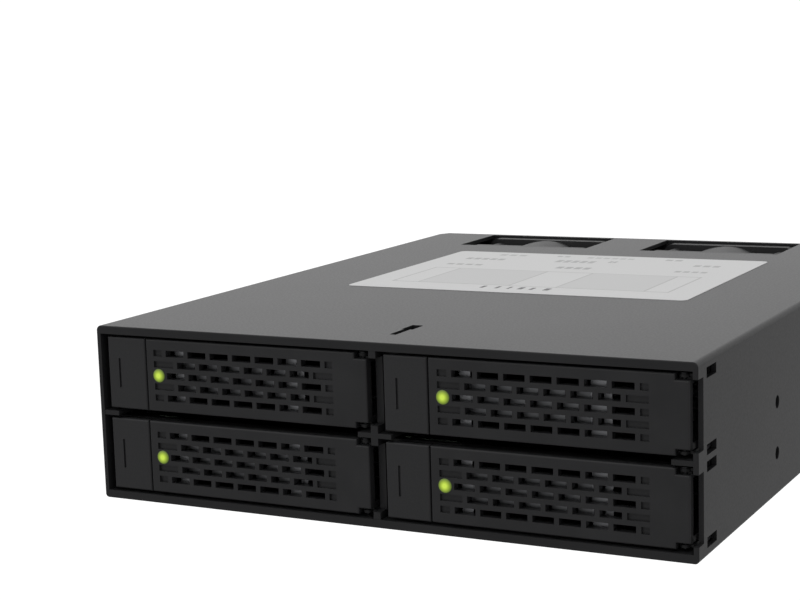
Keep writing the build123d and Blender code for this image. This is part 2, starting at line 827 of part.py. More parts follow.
def fan_leads():
    # short lead and plug from each fan to the rear board
    leads = []
    for x in fans.values():
        lead_x = x + fan_size / 2 - lead_inset
        level = fan_z + lead_rise
        plug_z = rear_board_top + plug_height / 2
        route = [
            (lead_x, fan_y0, level), (lead_x, fan_y0 - fan_plug_room / 3, level),
            (lead_x, fan_y0 - fan_plug_room * 2 / 3, plug_z), (lead_x, rear_board_y1, plug_z),
        ]
        line = FilletPolyline(*route, radius=lead_bend)
        tube = sweep(Plane(origin=line @ 0, z_dir=line % 0) * Circle(lead_radius), path=line)
        plug = block(
            lead_x - plug_width / 2, lead_x + plug_width / 2, rear_board_y1 - plug_length, rear_board_y1,
            rear_board_top, rear_board_top + plug_height,
        )
        leads.append(tube + plug)
    return leads


def rating_label():
    # blank sticker on the top
    y0 = front_y + label_from_front
    sticker = block(label_x0, label_x1, y0, y0 + label_length, case_height, case_height + label_thickness)
    return fillet(sticker.edges().filter_by(Axis.Z), label_corner)


def slot_rows():
    # each row's level, the start of its first slot and its number of slots, from the top down
    room = door_x1 - door_x0 - grille_start - grille_end_margin
    count = int((room + slot_bridge) // slot_pitch)
    rows = []
    for k in (2, 1, 0, -1, -2):
        short = k % 2
        rows.append((k * row_pitch, grille_start + short * slot_pitch / 2, count - short))
    return rows


def grille_end():
    # end of the longest row, from the lever's left edge
    level, first, count = slot_rows()[0]
    return first + (count - 1) * slot_pitch + slot_length


def door_lever():
    # swinging front with its grille, hinge knuckle, cam arms and the latch's seat
    left = door_x0 + latch_width + split_gap
    plate = block(left, door_x1, face_y, face_y + door_thickness, -door_half, door_half)
    for side in (-1, 1):
        z = sorted((side * notch_level, side * (door_half + 1)))
        plate -= block(door_x1 - notch_width, door_x1 + 1, face_y - 1, face_y + door_thickness + 1, *z)
    plate = fillet(plate.faces().sort_by(Axis.Y)[0].outer_wire().edges(), door_round)
    cut = []
    blind_end = door_x0 + grille_end() + blind_tail
    for level, first, count in slot_rows():
        z0, z1 = level - slot_height / 2, level + slot_height / 2
        for k in range(count):
            x0 = door_x0 + first + k * slot_pitch
            cut.append(block(x0, x0 + slot_length, face_y - 1, face_y + door_thickness + 1, z0, z1))
        blind = [(x0 + slot_length + slot_bridge, blind_end)]
        if level != 0:
            blind.append((door_x0 + blind_start, door_x0 + first - slot_bridge))
        for x0, x1 in blind:
            cut.append(block(x0, x1, face_y - 1, face_y + blind_depth, z0, z1))
    cut.append(lengthwise(door_x0 + lens_at, 0, face_y - 1, face_y + door_thickness + 1, lens_radius))
    plate -= cut
    plate += upright(pivot_x, pivot_y, -notch_level, notch_level, knuckle_radius)
    for side in (-1, 1):
        tip_x, outer_x = bay_half - touch_gap, pivot_x + knuckle_radius - 0.2
        arm = slab(
            [
                (pivot_x - arm_root, pivot_y), (outer_x, pivot_y),
                (outer_x, pivot_y + arm_shoulder), (tip_x, pivot_y + arm_flare),
                (tip_x, pivot_y + arm_reach), (pivot_x + 0.4, pivot_y + arm_reach - arm_taper),
            ],
            0, arm_height,
        )
        reach = -floor_top - ear_thickness - arm_gap
        z0 = reach - arm_height if side > 0 else -reach
        plate += Pos(0, 0, z0) * arm
    plate -= upright(pivot_x, pivot_y, -door_half - 1, door_half + 1, hinge_pin_radius + hinge_fit)
    return plate + latch_seat()


def latch_seat():
    # back plate and cheeks that carry the latch
    y0 = face_y + latch_thickness + latch_back_gap
    y1 = y0 + latch_plate
    cheek_x0 = latch_pivot_x - 1.7
    cheek_x1 = door_x0 + latch_width + split_gap + cheek_reach
    tall = door_half - cheek_inset
    seat = block(door_x0 + 0.8, cheek_x0, y0, y1, -tall, tall)
    slot_half = tongue_height / 2 + 2 * touch_gap
    slot_x0 = door_x0 + tongue_at - 2 * touch_gap
    slot_x1 = door_x0 + tongue_at + tongue_thickness + 1.0
    seat -= block(slot_x0, slot_x1, y0 - 1, y1 + 1, -slot_half, slot_half)
    for side in (-1, 1):
        z = sorted((side * (tall - cheek_thickness), side * tall))
        seat += block(cheek_x0 - 0.4, cheek_x1, face_y + latch_thickness + cheek_front, y1, *z)
    bore = upright(latch_pivot_x, latch_pivot_y, -door_half, door_half, latch_pintle_radius + hinge_fit)
    return seat - bore


def latch_button():
    # rocking latch at the lever's free end, with pintles, tongue and nose
    x0, x1 = door_x0, door_x0 + latch_width
    plate = block(x0, x1, face_y, face_y + latch_thickness, -door_half, door_half)
    plate = fillet(plate.faces().sort_by(Axis.Y)[0].outer_wire().edges(), door_round)
    mark_x = door_x0 + grip_mark_at
    half_mark = grip_mark_height / 2
    plate -= block(
        mark_x - grip_mark_width / 2, mark_x + grip_mark_width / 2, face_y - 1, face_y + grip_mark_depth,
        -half_mark, half_mark,
    )
    cheek = door_half - cheek_inset - cheek_thickness
    neck_x0, neck_x1 = latch_pivot_x - latch_neck / 2, latch_pivot_x + latch_neck / 2
    neck_half = cheek - touch_gap
    plate += block(neck_x0, neck_x1, face_y + latch_thickness, latch_pivot_y, -neck_half, neck_half)
    plate += upright(latch_pivot_x, latch_pivot_y, -neck_half, neck_half, latch_boss_radius)
    pintle = cheek + pintle_length
    plate += upright(latch_pivot_x, latch_pivot_y, -pintle, pintle, latch_pintle_radius)
    tongue_x = door_x0 + tongue_at
    half = tongue_height / 2
    back = face_y + latch_thickness
    plate += block(tongue_x, tongue_x + tongue_thickness, back, back + tongue_length, -half, half)
    hook = [
        (tongue_x, back + tongue_length - 1.0), (tongue_x, back + tongue_length),
        (tongue_x - nose, back + tongue_length - 1.0),
    ]
    return plate + slab(hook, -half, half)


def latch_spring():
    # bent leaf between the latch and its seat
    touch_x = door_x0 + spring_at
    back = face_y + latch_thickness
    centre_y = back + spring_play + spring_radius
    ring = upright(touch_x, centre_y, -spring_height / 2, spring_height / 2, spring_radius)
    ring -= upright(touch_x, centre_y, -spring_height, spring_height, spring_radius - spring_leaf)
    reach = back + latch_back_gap - 0.02
    length = sqrt(spring_radius**2 - (centre_y - reach + spring_leaf) ** 2)
    return ring & block(touch_x, touch_x + length, back, reach, -spring_height, spring_height)


def status_lens():
    # clear lens with a flange behind the lever
    x = door_x0 + lens_at
    y1 = face_y + door_thickness
    lens = lengthwise(x, 0, face_y - lens_proud, y1, lens_radius - lens_fit)
    lens = fillet(lens.edges().sort_by(Axis.Y)[0], lens_round)
    return lens + lengthwise(x, 0, y1, y1 + lens_flange, lens_radius + lens_flange_lip)


def hinge_pin():
    # headed pin through both ears
    top = -floor_top
    pin = upright(pivot_x, pivot_y, floor_top - pin_end, top, hinge_pin_radius)
    return pin + upright(pivot_x, pivot_y, top, top + pin_end, hinge_pin_radius + pin_lip)


def tray_bracket():
    # metal front of the tray: ears for the hinge pin, inner grille, posts and the latch's strike
    top = -floor_top
    left = -tray_half
    right = tray_half
    levels = ((floor_top, floor_top + ear_thickness), (top - ear_thickness, top))
    grille_y0 = face_y + bracket_depth
    grille_y1 = grille_y0 + bracket_plate
    plate_x0 = door_x0 + bracket_start
    plate_x1 = door_x0 + grille_end() - bracket_end_margin
    strike_y0 = face_y + latch_thickness + latch_back_gap + latch_plate + strike_gap
    frame = block(plate_x0, plate_x1, grille_y0, grille_y1, floor_top, top)
    cut = []
    for level, shift in ((row_pitch, slot_pitch / 2), (0, 0), (-row_pitch, slot_pitch / 2)):
        z1 = level + bracket_hole_top
        x0 = plate_x0 + bracket_post + slot_bridge / 2 + shift
        while x0 + bracket_hole_width < plate_x1 - bracket_plate / 2:
            x1 = x0 + bracket_hole_width
            cut.append(block(x0, x1, grille_y0 - 1, grille_y1 + 1, z1 - bracket_hole_height, z1))
            x0 += slot_pitch
    for level in (2 * row_pitch, -2 * row_pitch):
        cut.append(block(
            plate_x0 + bracket_post, plate_x1 - bracket_post_right, grille_y0 - 1, grille_y1 + 1,
            level - bracket_hole_height, level + bracket_row_top,
        ))
    frame -= cut
    for z0, z1 in levels:
        bar_y1 = grille_y1 + bracket_bar
        frame += block(plate_x0, plate_x1, grille_y0, bar_y1, z0, z1)
        frame += block(left, plate_x0 + 1, strike_y0, bar_y1, z0, z1)
        frame += block(plate_x1 - 1, pivot_x + ear_outer, grille_y0 + 0.2, bar_y1, z0, z1)
        frame += upright(pivot_x, pivot_y, z0, z1, ear_inner)
        frame += block(pivot_x - ear_inner, pivot_x + ear_outer, pivot_y, post_rear_y, z0, z1)
        frame += block(pivot_x, right, arm_clear_y, post_rear_y, z0, z1)
    frame += block(right - ear_post, right, arm_clear_y, post_rear_y, floor_top, top)
    frame += block(left, left + bracket_plate, strike_y0, grille_y1 + bracket_bar, floor_top, top)
    frame += block(left, left + bracket_plate, strike_y0, post_rear_y, floor_top, guide_z0 - touch_gap)
    strike_half = tongue_height / 2 + 0.5
    strike_x1 = door_x0 + tongue_at - nose - touch_gap
    frame += block(left, strike_x1, strike_y0, strike_y0 + strike_thickness, -strike_half, strike_half)
    return frame - upright(pivot_x, pivot_y, -mouth_height, mouth_height, hinge_pin_radius + 0.01)


def tray_pan():
    # floor and low side walls that carry the drive
    floor_y0 = face_y + bracket_depth + bracket_plate + 1.0
    pan = block(-tray_half, tray_half, floor_y0, tray_rear_y, tray_bottom, floor_top)
    wall_top = tray_bottom + tray_wall_height
    for side in (-1, 1):
        x = sorted((side * tray_half, side * tray_inner))
        pan += block(*x, post_rear_y, tray_rear_y, tray_bottom, wall_top)
    rib_half = tray_rib_width / 2
    for y in (drive_y0 + 6, (drive_y0 + tray_rear_y) / 2, tray_rear_y - 6):
        pan += block(-tray_half, -tray_inner, y - rib_half, y + rib_half, tray_bottom, guide_z1)
    cut = []
    hole_y = drive_y1 - drive_hole_from_rear
    for x in (-drive_hole_spacing_x / 2, drive_hole_spacing_x / 2):
        for y in (hole_y, hole_y - drive_hole_spacing_y):
            cut.append(upright(x, y, tray_bottom - 1, floor_top + 1, drive_hole_radius))
    vent_rows = int((tray_rear_y - drive_y0 - vent_first) // vent_pitch_y)
    for column in (-1, 0, 1):
        for row in range(vent_rows):
            x = column * vent_pitch_x
            y = drive_y0 + vent_first + row * vent_pitch_y
            cut.append(block(
                x - vent_width / 2, x + vent_width / 2, y - vent_length / 2, y + vent_length / 2,
                tray_bottom - 1, floor_top + 1,
            ))
    return pan - cut


def light_guide():
    # clear bar from the backplane's light along the tray to the back of the lens
    x0 = -tray_inner
    tip_x = door_x0 + lens_at
    turn_y = face_y + bracket_depth + bracket_plate + 2.0
    z0, z1 = guide_z0, guide_z1
    bar = block(x0, x0 + guide_bar, turn_y, tray_rear_y, z0, z1)
    bar += block(x0, tip_x + guide_bar / 2, turn_y, turn_y + guide_bar, z0, z1)
    bar += block(tip_x - guide_bar / 2, tip_x + guide_bar / 2, turn_y, turn_y + guide_bar, -guide_bar / 2, z1)
    tip_y = face_y + door_thickness + lens_flange + touch_gap
    return bar + lengthwise(tip_x, 0, tip_y, turn_y + guide_bar / 2, guide_tip_radius)


os.makedirs("parts", exist_ok=True)

write(outer_shell(), "outer_shell")
write(bottom_plate(), "bottom_plate")
write(centre_wall(), "centre_wall")
write(bay_shelf(), "bay_shelf")
write(rear_panel(), "rear_panel")
write(backplane_board(), "backplane_board")
write(rear_board(), "rear_board")
write(board_header(), "board_header")
write(power_port(), "power_port")
write(speed_switch(), "speed_switch")
write(speed_knob(), "speed_knob")
write(rating_label(), "rating_label")
write(Compound(fan_leads()), "fan_leads")
for name, screws in screw_groups().items():
    write(Compound(screws), name)
for number, (port_x, port_z) in data_ports.items():
    write(data_port(port_x, port_z), f"data_port_{number}")
for side, fan_x in fans.items():
    write(fan_frame(fan_x), f"fan_frame_{side}")
    write(fan_rotor(fan_x), f"fan_rotor_{side}")
write_in_bays(drive_socket(), "drive_socket")
write_in_bays(tray_pan(), "tray_pan")
write_in_bays(tray_bracket(), "tray_bracket")
write_in_bays(hinge_pin(), "hinge_pin")
write_in_bays(light_guide(), "light_guide")
write_in_bays(door_lever(), "door_lever")
write_in_bays(status_lens(), "status_lens")
write_in_bays(latch_button(), "latch_button")
write_in_bays(latch_spring(), "latch_spring")
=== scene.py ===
import bpy
import bmesh
import json
import numpy as np
from mathutils import Matrix, Vector


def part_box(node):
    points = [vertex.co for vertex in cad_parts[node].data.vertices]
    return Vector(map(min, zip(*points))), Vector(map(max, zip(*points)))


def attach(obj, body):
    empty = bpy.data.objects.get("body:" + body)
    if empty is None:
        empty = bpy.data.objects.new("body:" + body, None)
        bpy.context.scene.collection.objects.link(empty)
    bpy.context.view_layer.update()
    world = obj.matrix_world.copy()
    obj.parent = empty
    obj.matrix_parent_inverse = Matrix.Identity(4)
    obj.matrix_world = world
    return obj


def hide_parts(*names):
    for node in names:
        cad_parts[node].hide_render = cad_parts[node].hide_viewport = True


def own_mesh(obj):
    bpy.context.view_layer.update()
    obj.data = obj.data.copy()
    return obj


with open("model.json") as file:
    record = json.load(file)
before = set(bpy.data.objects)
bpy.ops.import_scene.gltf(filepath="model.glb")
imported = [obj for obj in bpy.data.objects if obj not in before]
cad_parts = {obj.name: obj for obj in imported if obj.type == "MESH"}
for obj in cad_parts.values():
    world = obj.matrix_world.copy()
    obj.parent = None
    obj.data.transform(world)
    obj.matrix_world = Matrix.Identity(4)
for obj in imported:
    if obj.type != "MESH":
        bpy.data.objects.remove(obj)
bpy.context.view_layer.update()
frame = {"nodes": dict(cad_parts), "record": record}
print("frame loaded with", len(frame["nodes"]), "nodes")

# Lengths in this script are millimetres until they reach a mesh or a shader
mm = 0.001
bays = ("upper_left", "upper_right", "lower_left", "lower_right")
sides = ("left", "right")


def nodeBox(node):  # lowest and highest corner of a part of the frame, in millimetres
    low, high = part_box(node)
    return np.array(low) / mm, np.array(high) / mm


# Colours and shader nodes


def linearColour(code):  # sRGB hex to linear red, green, blue and alpha
    channels = np.array([int(code[k:k + 2], 16) for k in (0, 2, 4)]) / 255
    linear = np.where(channels <= 0.04045, channels / 12.92, ((channels + 0.055) / 1.055) ** 2.4)
    return (*linear.tolist(), 1.0)


def addNode(tree, kind, values=None, links=None, **settings):  # a value in quotes is an sRGB hex colour
    node = tree.nodes.new("ShaderNode" + kind)
    for name, value in settings.items():
        setattr(node, name, value)
    for name, value in (values or {}).items():
        node.inputs[name].default_value = linearColour(value) if isinstance(value, str) else value
    for name, source in (links or {}).items():
        tree.links.new(source, node.inputs[name])
    return node


def startMaterial(name):  # an empty material, its node tree and its Object coordinates
    material = bpy.data.materials.new(name)
    material.use_nodes = True
    tree = material.node_tree
    tree.nodes.clear()
    return material, tree, addNode(tree, "TexCoord").outputs["Object"]


def finishMaterial(tree, values, links):
    shader = addNode(tree, "BsdfPrincipled", values, links)
    addNode(tree, "OutputMaterial", links={"Surface": shader.outputs["BSDF"]})


noiseSet = {"roughness": 0.55, "low": 0.3, "high": 0.7}  # noise lies mostly between low and high
firstColour, secondColour, mixedColour = 6, 7, 2  # the colour sockets of a Mix node


def stretchedNoise(tree, place, sizeMm, span, detail=2.0):
    # noise whose lumps are about sizeMm across, as it comes and stretched over the span
    values = {"Scale": 1 / (sizeMm * mm), "Detail": detail, "Roughness": noiseSet["roughness"]}
    noise = addNode(tree, "TexNoise", values, {"Vector": place}).outputs["Fac"]
    values = {"From Min": noiseSet["low"], "From Max": noiseSet["high"], "To Min": span[0], "To Max": span[1]}
    return noise, addNode(tree, "MapRange", values, {"Value": noise}).outputs["Result"]


def grainedMaterial(name, finish):
    # Noise as fine as the finish's grain sets its gloss and its relief. The same noise, or a broader one
    # where the finish has clouds, runs between its two tones
    material, tree, place = startMaterial(name)
    if "stretch" in finish:
        place = addNode(tree, "Mapping", {"Scale": finish["stretch"]}, {"Vector": place}).outputs["Vector"]
    detail = finish.get("detail", 2.0)
    grain, gloss = stretchedNoise(tree, place, finish["grainMm"], finish["gloss"], detail)
    _, share = stretchedNoise(tree, place, finish.get("cloudMm", finish["grainMm"]), (0, 1), detail)
    tones = dict(zip((firstColour, secondColour), finish["tones"]))
    mix = addNode(tree, "Mix", tones, {"Factor": share}, data_type="RGBA")
    links = {"Base Color": mix.outputs[mixedColour], "Roughness": gloss}
    if "reliefMm" in finish:
        bump = addNode(tree, "Bump", {"Distance": finish["reliefMm"] * mm}, {"Height": grain})
        links["Normal"] = bump.outputs["Normal"]
    finishMaterial(tree, finish["shader"], links)
    return material


# Finishes with one grain each


# Powder coat, sprayed dry and melted on: an even near-black film with a fine peel and a low sheen
powderCoat = {
    "tones": ("1e1e1f", "232324"), "cloudMm": 24, "grainMm": 0.55, "gloss": (0.34, 0.4), "reliefMm": 0.006,
    "shader": {"Specular IOR Level": 0.18},
}

# Baked enamel over die-cast zinc: satin, with a grain finer than the powder coat's
bakedEnamel = {
    "tones": ("242425", "282829"), "cloudMm": 9, "grainMm": 0.35, "gloss": (0.34, 0.42), "reliefMm": 0.008,
    "shader": {"Specular IOR Level": 0.18},
}

# Glass-filled nylon, moulded and painted to match: a shade paler and duller than the lever
paintedNylon = {
    "tones": ("272728", "2b2b2c"), "grainMm": 0.4, "gloss": (0.38, 0.46), "reliefMm": 0.008,
    "shader": {"Specular IOR Level": 0.18},
}

# Cold-rolled sheet with a thin dip coat: dark satin, with faint rolling lines along the tray
coatedSheet = {
    "tones": ("2b2b2d", "363639"), "stretch": (1, 0.04, 1), "grainMm": 0.5, "detail": 3.0,
    "gloss": (0.32, 0.44), "reliefMm": 0.004, "shader": {"Specular IOR Level": 0.45},
}

# Stainless spring strip, rolled and polished: bright, with fine upright lines
springSteel = {
    "tones": ("bdbdba", "cfcfcc"), "stretch": (1, 1, 0.05), "grainMm": 0.12, "detail": 3.0,
    "gloss": (0.2, 0.32), "reliefMm": 0.003, "shader": {"Metallic": 1.0},
}

# Acrylic, moulded clear, its dark tint painted shade that keeps it dark behind the gap above the lever:
# polished faces with a hint of flow marks
shadeTintedAcrylic = {
    "tones": ("30352f", "3a4038"), "grainMm": 2.5, "gloss": (0.04, 0.1),
    "shader": {"Transmission Weight": 0.92, "IOR": 1.49},
}

# Glass-filled nylon, moulded: black with a dry speckled face
connectorNylon = {
    "tones": ("141414", "1f1f1f"), "grainMm": 0.25, "detail": 3.0, "gloss": (0.45, 0.62), "reliefMm": 0.01,
    "shader": {"Specular IOR Level": 0.45},
}

# Polyester resin, moulded: black, with a fine spark-eroded texture, and glossier on the rotors
mouldedPolyester = {
    "tones": ("131314", "1b1b1c"), "grainMm": 0.3, "gloss": (0.42, 0.54), "reliefMm": 0.008,
    "shader": {"Specular IOR Level": 0.45},
}
glossyPolyester = {**mouldedPolyester, "tones": ("101011", "171718"), "gloss": (0.3, 0.42)}

# Zinc plating with a clear passivate: bright bluish metal with soft blotches
zincPlate = {
    "tones": ("b4b8bd", "c8c8c2"), "cloudMm": 1.2, "grainMm": 0.4, "gloss": (0.22, 0.36),
    "shader": {"Metallic": 1.0},
}

# Thin gold over nickel on the contacts: bright, slightly uneven yellow metal
goldPlate = {
    "tones": ("d3a54c", "e2b963"), "grainMm": 0.5, "gloss": (0.2, 0.34), "shader": {"Metallic": 1.0},
}

# Zinc plating, dyed black: dark metal with a soft gloss
blackZinc = {
    "tones": ("1b1b1c", "2a2a2c"), "grainMm": 0.9, "gloss": (0.3, 0.42), "shader": {"Metallic": 0.6},
}

# Nylon, moulded in its natural off-white: a little light passes under its face
whiteNylon = {
    "tones": ("d4d2ca", "e0ded8"), "grainMm": 0.4, "gloss": (0.42, 0.54),
    "shader": {"Specular IOR Level": 0.45, "Subsurface Weight": 0.1, "Subsurface Scale": 1.0 * mm},
}

# Matt polyester label stock: pale grey, with a dry even face
polyesterFilm = {
    "tones": ("b8b8b8", "c1c1c1"), "grainMm": 0.6, "gloss": (0.46, 0.58),
    "shader": {"Specular IOR Level": 0.4},
}


# Finishes with a pattern of their own


blackEndedDieCast = {
    # the second pair of tones is painted shade for the grille's middle, between its end posts
    "bright": ("96979a", "a6a7aa"), "shadedMiddle": ("76777a", "868789"), "blackEnds": ("161617", "1b1b1c"),
    "stainMm": 6, "grainMm": 0.3, "gloss": (0.36, 0.5), "reliefMm": 0.01,
    "shader": {"Specular IOR Level": 0.2},
    "grille": (-17.2, 17.3), "grilleHeight": 15.0,  # the bare part, about the middle of its bay
    "posts": (2.6, 4.6),  # widths of its left and right end posts
}


def bareGrille(tree, place):
    # one on the inner grilles of the four tray brackets, and one on their middles between the two end posts,
    # where shade is painted: each bay's own middle is taken off the place first, left and right by the sign
    # of X
    axes = addNode(tree, "SeparateXYZ", links={"Vector": place}).outputs
    (right, _, upper), (_, _, lower) = [
        np.add(*nodeBox(f"tray_bracket_{bay}")) / 2 for bay in ("upper_right", "lower_right")
    ]
    column = addNode(tree, "Math", links={0: axes["X"]}, operation="SIGN").outputs["Value"]
    shift = addNode(tree, "Math", {1: -right * mm}, {0: column, 2: axes["X"]}, operation="MULTIPLY_ADD")
    across = shift.outputs["Value"]
    x0, x1 = blackEndedDieCast["grille"]
    postLeft, postRight = blackEndedDieCast["posts"]
    half = blackEndedDieCast["grilleHeight"] / 2
    spans = {
        "whole": (across, x0, x1), "middle": (across, x0 + postLeft, x1 - postRight),
        "upper": (axes["Z"], upper - half, upper + half), "lower": (axes["Z"], lower - half, lower + half),
    }
    within = {}
    for key, (value, low, high) in spans.items():
        values = {1: (low + high) / 2 * mm, 2: (high - low) / 2 * mm}
        within[key] = addNode(tree, "Math", values, {0: value}, operation="COMPARE").outputs["Value"]
    level = addNode(tree, "Math", links={0: within["upper"], 1: within["lower"]}, operation="MAXIMUM")
    bare = addNode(tree, "Math", links={0: within["whole"], 1: level.outputs["Value"]}, operation="MULTIPLY")
    return bare.outputs["Value"], within["middle"]


def makeBlackEndedDieCast():
    # Die-cast zinc, black outside the inner grille; the inner grille is blasted and left bare, with painted
    # shade making its middle darker, so that it is brightest on its end posts
    material, tree, place = startMaterial("blackEndedDieCast")
    pits, gloss = stretchedNoise(tree, place, blackEndedDieCast["grainMm"], blackEndedDieCast["gloss"])
    _, stains = stretchedNoise(tree, place, blackEndedDieCast["stainMm"], (0, 1))
    bare, middle = bareGrille(tree, place)
    tones = {}
    for key in ("bright", "shadedMiddle", "blackEnds"):
        pair = dict(zip((firstColour, secondColour), blackEndedDieCast[key]))
        tones[key] = addNode(tree, "Mix", pair, {"Factor": stains}, data_type="RGBA").outputs[mixedColour]
    # painted shade: the grille's middle takes the darker pair of tones, the end posts the brighter pair
    links = {"Factor": middle, firstColour: tones["bright"], secondColour: tones["shadedMiddle"]}
    grille = addNode(tree, "Mix", links=links, data_type="RGBA").outputs[mixedColour]
    # the bracket outside its inner grille takes the near-black tones
    links = {"Factor": bare, firstColour: tones["blackEnds"], secondColour: grille}
    tone = addNode(tree, "Mix", links=links, data_type="RGBA").outputs[mixedColour]
    bump = addNode(tree, "Bump", {"Distance": blackEndedDieCast["reliefMm"] * mm}, {"Height": pits})
    finishMaterial(tree, blackEndedDieCast["shader"], {
        "Metallic": bare, "Base Color": tone, "Roughness": gloss, "Normal": bump.outputs["Normal"],
    })
    return material


solderMask = {
    "tones": ("0e3a22", "17532f"), "bandMm": 6.0, "patchMm": 9.0, "patchTurn": 0.785, "patchShare": 0.5,
    "trackEdge": (0.35, 0.5), "trackMm": 0.02, "grainMm": 0.8, "gloss": (0.28, 0.4),
    "shader": {"Coat Weight": 0.4, "Coat Roughness": 0.12},
}


def makeSolderMask():
    # Glass-epoxy board under green solder mask: glossy film with copper tracks that show through, in bands
    # that are kept within the cells of a pattern turned by half a right angle
    material, tree, place = startMaterial("solderMask")
    turned = addNode(tree, "Mapping", {"Rotation": (0, 0, solderMask["patchTurn"])}, {"Vector": place})
    bands = addNode(tree, "TexWave", {"Scale": 1 / (solderMask["bandMm"] * mm)}, {"Vector": place})
    cells = addNode(tree, "TexVoronoi", {"Scale": 1 / (solderMask["patchMm"] * mm)},
                    {"Vector": turned.outputs["Vector"]}, distance="CHEBYCHEV")
    patches = addNode(tree, "Math", {1: solderMask["patchShare"]}, {0: cells.outputs["Distance"]},
                      operation="LESS_THAN")
    track = addNode(tree, "Math", links={0: bands.outputs["Fac"], 1: patches.outputs["Value"]},
                    operation="MULTIPLY")
    edge = dict(zip(("From Min", "From Max"), solderMask["trackEdge"]))
    raised = addNode(tree, "MapRange", edge, {"Value": track.outputs["Value"]}).outputs["Result"]
    tones = dict(zip((firstColour, secondColour), solderMask["tones"]))
    mix = addNode(tree, "Mix", tones, {"Factor": raised}, data_type="RGBA")
    bump = addNode(tree, "Bump", {"Distance": solderMask["trackMm"] * mm}, {"Height": raised})
    _, gloss = stretchedNoise(tree, place, solderMask["grainMm"], solderMask["gloss"])
    finishMaterial(tree, solderMask["shader"], {
        "Base Color": mix.outputs[mixedColour], "Roughness": gloss, "Normal": bump.outputs["Normal"],
    })
    return material


ribbonInk = {
    "colour": "38383a", "fibreMm": 0.4, "cover": (0.9, 1.0),
    "shader": {"Specular IOR Level": 0.4, "Roughness": 0.6},
}


def makeRibbonInk():
    # Grey ribbon ink on the film, as dark as each mark's own attribute says, thinner where the fibres show
    material, tree, place = startMaterial("ribbonInk")
    _, cover = stretchedNoise(tree, place, ribbonInk["fibreMm"], ribbonInk["cover"])
    ink = addNode(tree, "Attribute", attribute_name="ink").outputs["Fac"]
    depth = addNode(tree, "Math", links={0: cover, 1: ink}, operation="MULTIPLY").outputs["Value"]
    values = {firstColour: polyesterFilm["tones"][1], secondColour: ribbonInk["colour"]}
    tone = addNode(tree, "Mix", values, {"Factor": depth}, data_type="RGBA").outputs[mixedColour]
    finishMaterial(tree, ribbonInk["shader"], {"Base Color": tone})
    return material


litPolycarbonate = {
    "rim": "232f10", "body": "8ea52e", "core": "c2dc4c", "bodyFrom": 0.4, "coreFrom": 0.75,
    "grainMm": 0.6, "gloss": (0.16, 0.24),
    "shader": {"Specular IOR Level": 0.4, "Emission Strength": 1.0, "Base Color": "3a4a18"},
}


def makeLitPolycarbonate():
    # Polycarbonate lens, moulded and lit from behind: brightest in the middle, deep green at the rim
    material, tree, place = startMaterial("litPolycarbonate")
    glow = addNode(tree, "Attribute", attribute_name="glow").outputs["Fac"]
    ramp = addNode(tree, "ValToRGB", links={"Fac": glow})
    rim, core = ramp.color_ramp.elements
    rim.color = linearColour(litPolycarbonate["rim"])
    core.color = linearColour(litPolycarbonate["core"])
    core.position = litPolycarbonate["coreFrom"]
    body = ramp.color_ramp.elements.new(litPolycarbonate["bodyFrom"])
    body.color = linearColour(litPolycarbonate["body"])
    _, gloss = stretchedNoise(tree, place, litPolycarbonate["grainMm"], litPolycarbonate["gloss"])
    links = {"Emission Color": ramp.outputs["Color"], "Roughness": gloss}
    finishMaterial(tree, litPolycarbonate["shader"], links)
    return material


leadSleeve = {"grainMm": 0.8, "gloss": (0.34, 0.48), "shader": {"Specular IOR Level": 0.45}}


def makeLeadSleeve():
    # PVC lead sleeves and their plugs, with a faint extruded sheen; an attribute keeps their colours
    material, tree, place = startMaterial("leadSleeve")
    colour = addNode(tree, "Attribute", attribute_name="sleeve").outputs["Color"]
    _, gloss = stretchedNoise(tree, place, leadSleeve["grainMm"], leadSleeve["gloss"])
    finishMaterial(tree, leadSleeve["shader"], {"Base Color": colour, "Roughness": gloss})
    return material


materials = {
    "shell_paint": grainedMaterial("powderCoat", powderCoat),
    "lever_paint": grainedMaterial("bakedEnamel", bakedEnamel),
    "latch_paint": grainedMaterial("paintedNylon", paintedNylon),
    "tray_steel": grainedMaterial("coatedSheet", coatedSheet),
    "tray_alloy": makeBlackEndedDieCast(),
    "pin_steel": grainedMaterial("springSteel", springSteel),
    "clear_guide": grainedMaterial("shadeTintedAcrylic", shadeTintedAcrylic),
    "lit_lens": makeLitPolycarbonate(),
    "board": makeSolderMask(),
    "connector_plastic": grainedMaterial("connectorNylon", connectorNylon),
    "label": grainedMaterial("polyesterFilm", polyesterFilm),
    "lead": makeLeadSleeve(),
    "zinc": grainedMaterial("zincPlate", zincPlate),
    "black_screw": grainedMaterial("blackZinc", blackZinc),
    "fan_plastic": grainedMaterial("mouldedPolyester", mouldedPolyester),
    "rotor_plastic": grainedMaterial("glossyPolyester", glossyPolyester),
    "knob_plastic": grainedMaterial("whiteNylon", whiteNylon),
}
labelInk = makeRibbonInk()
contactGold = grainedMaterial("goldPlate", goldPlate)

for part in frame["record"]["subparts"]:
    mesh = frame["nodes"][part["node"]].data
    mesh.materials.clear()
    mesh.materials.append(materials[part["material_slot"]])
print("materials on every part of the frame")


# Surfaces from grids of points


def gridFaces(rows, columns, start):
    # quads between neighbouring rows and columns; the last column joins the first
    r = np.arange(rows - 1)[:, None]
    c = np.arange(columns)[None, :]
    a, b = r * columns + c, r * columns + (c + 1) % columns
    return (np.stack([a, b, b + columns, a + columns], axis=-1).reshape(-1, 4) + start).tolist()


